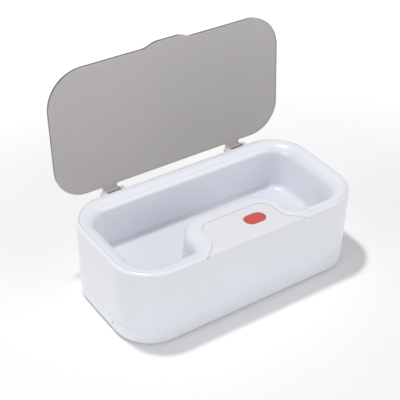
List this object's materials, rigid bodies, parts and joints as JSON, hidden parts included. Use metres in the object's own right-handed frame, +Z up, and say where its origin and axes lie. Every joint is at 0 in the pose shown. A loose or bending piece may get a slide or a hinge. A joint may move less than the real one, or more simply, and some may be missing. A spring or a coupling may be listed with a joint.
{
  "type": "ultrasonic jewellery cleaner",
  "caption": "White tabletop ultrasonic cleaner with a kidney-shaped tub, a flat panel with a red oval button, and a smoky hinged lid standing open.",
  "frame": {"origin": "middle of the footprint, on the surface that the cleaner stands on", "axes": "+X along the length to the right of someone facing the button, +Y to the rear, where the lid is hinged, +Z up"},
  "size_m": [0.18, 0.1056, 0.1511],
  "materials": {
    "housing_white": "satin moulded white",
    "tub_white": "polished moulded white",
    "panel_white": "satin moulded white",
    "button_red": "satin moulded coral red",
    "seal_grey": "matt silicone",
    "foot_rubber": "matt rubber",
    "board_green": "solder mask",
    "part_black": "moulded black",
    "ferrite": "ferrite and enamelled wire",
    "socket_white": "natural nylon",
    "steel": "nickel-plated",
    "piezo": "silvered ceramic",
    "lead_red": "PVC insulation",
    "cell_jacket": "printed-free dark jacket",
    "lid_smoke": "clear smoke-grey moulding"
  },
  "bodies": {
    "housing": {"body_shell": "housing_white", "base_cover": "housing_white", "tub": "tub_white", "control_panel": "panel_white", "rim_gasket": "seal_grey", "panel_gasket": "seal_grey", "button_seal": "seal_grey", "foot_ring": "foot_rubber", "control_board": "board_green", "switch_housing": "part_black", "driver_transformer": "ferrite", "filter_capacitor": "part_black", "driver_chip": "part_black", "lead_sockets": "socket_white", "board_screws": "steel", "base_screws": "steel", "hinge_pins": "steel", "vibration_plate": "steel", "battery_springs": "steel", "battery_contacts": "steel", "bridge_contact": "steel", "piezo_disc": "piezo", "piezo_leads": "lead_red", "battery_leads": "lead_red", "aa_cells": "cell_jacket"},
    "lid": {"lid": "lid_smoke"},
    "battery_door": {"battery_door": "housing_white"},
    "power_button": {"power_button": "button_red"},
    "switch_plunger": {"switch_plunger": "part_black"}
  },
  "joints": [
    {"name": "lid_hinge", "type": "hinge", "parent": "housing", "child": "lid", "pos_m": [0, 0.0485, 0.0554], "axis": [1, 0, 0], "range_deg": [0, 93.9]},
    {"name": "battery_door_hinge", "type": "hinge", "parent": "housing", "child": "battery_door", "pos_m": [0, -0.00325, 0.00165], "axis": [1, 0, 0], "range_deg": [0, 60]},
    {"name": "button_press", "type": "slide", "parent": "housing", "child": "power_button", "axis": [0, 0, -1], "range_m": [0, 0.0008], "stiffness_N_per_m": 1500, "springref_m": -0.0004},
    {"name": "plunger_press", "type": "slide", "parent": "housing", "child": "switch_plunger", "axis": [0, 0, -1], "range_m": [0, 0.0008], "stiffness_N_per_m": 400, "springref_m": -0.0004}
  ],
  "couplings": [
    {"joint": "plunger_press", "follows": "button_press", "ratio": 1}
  ]
}
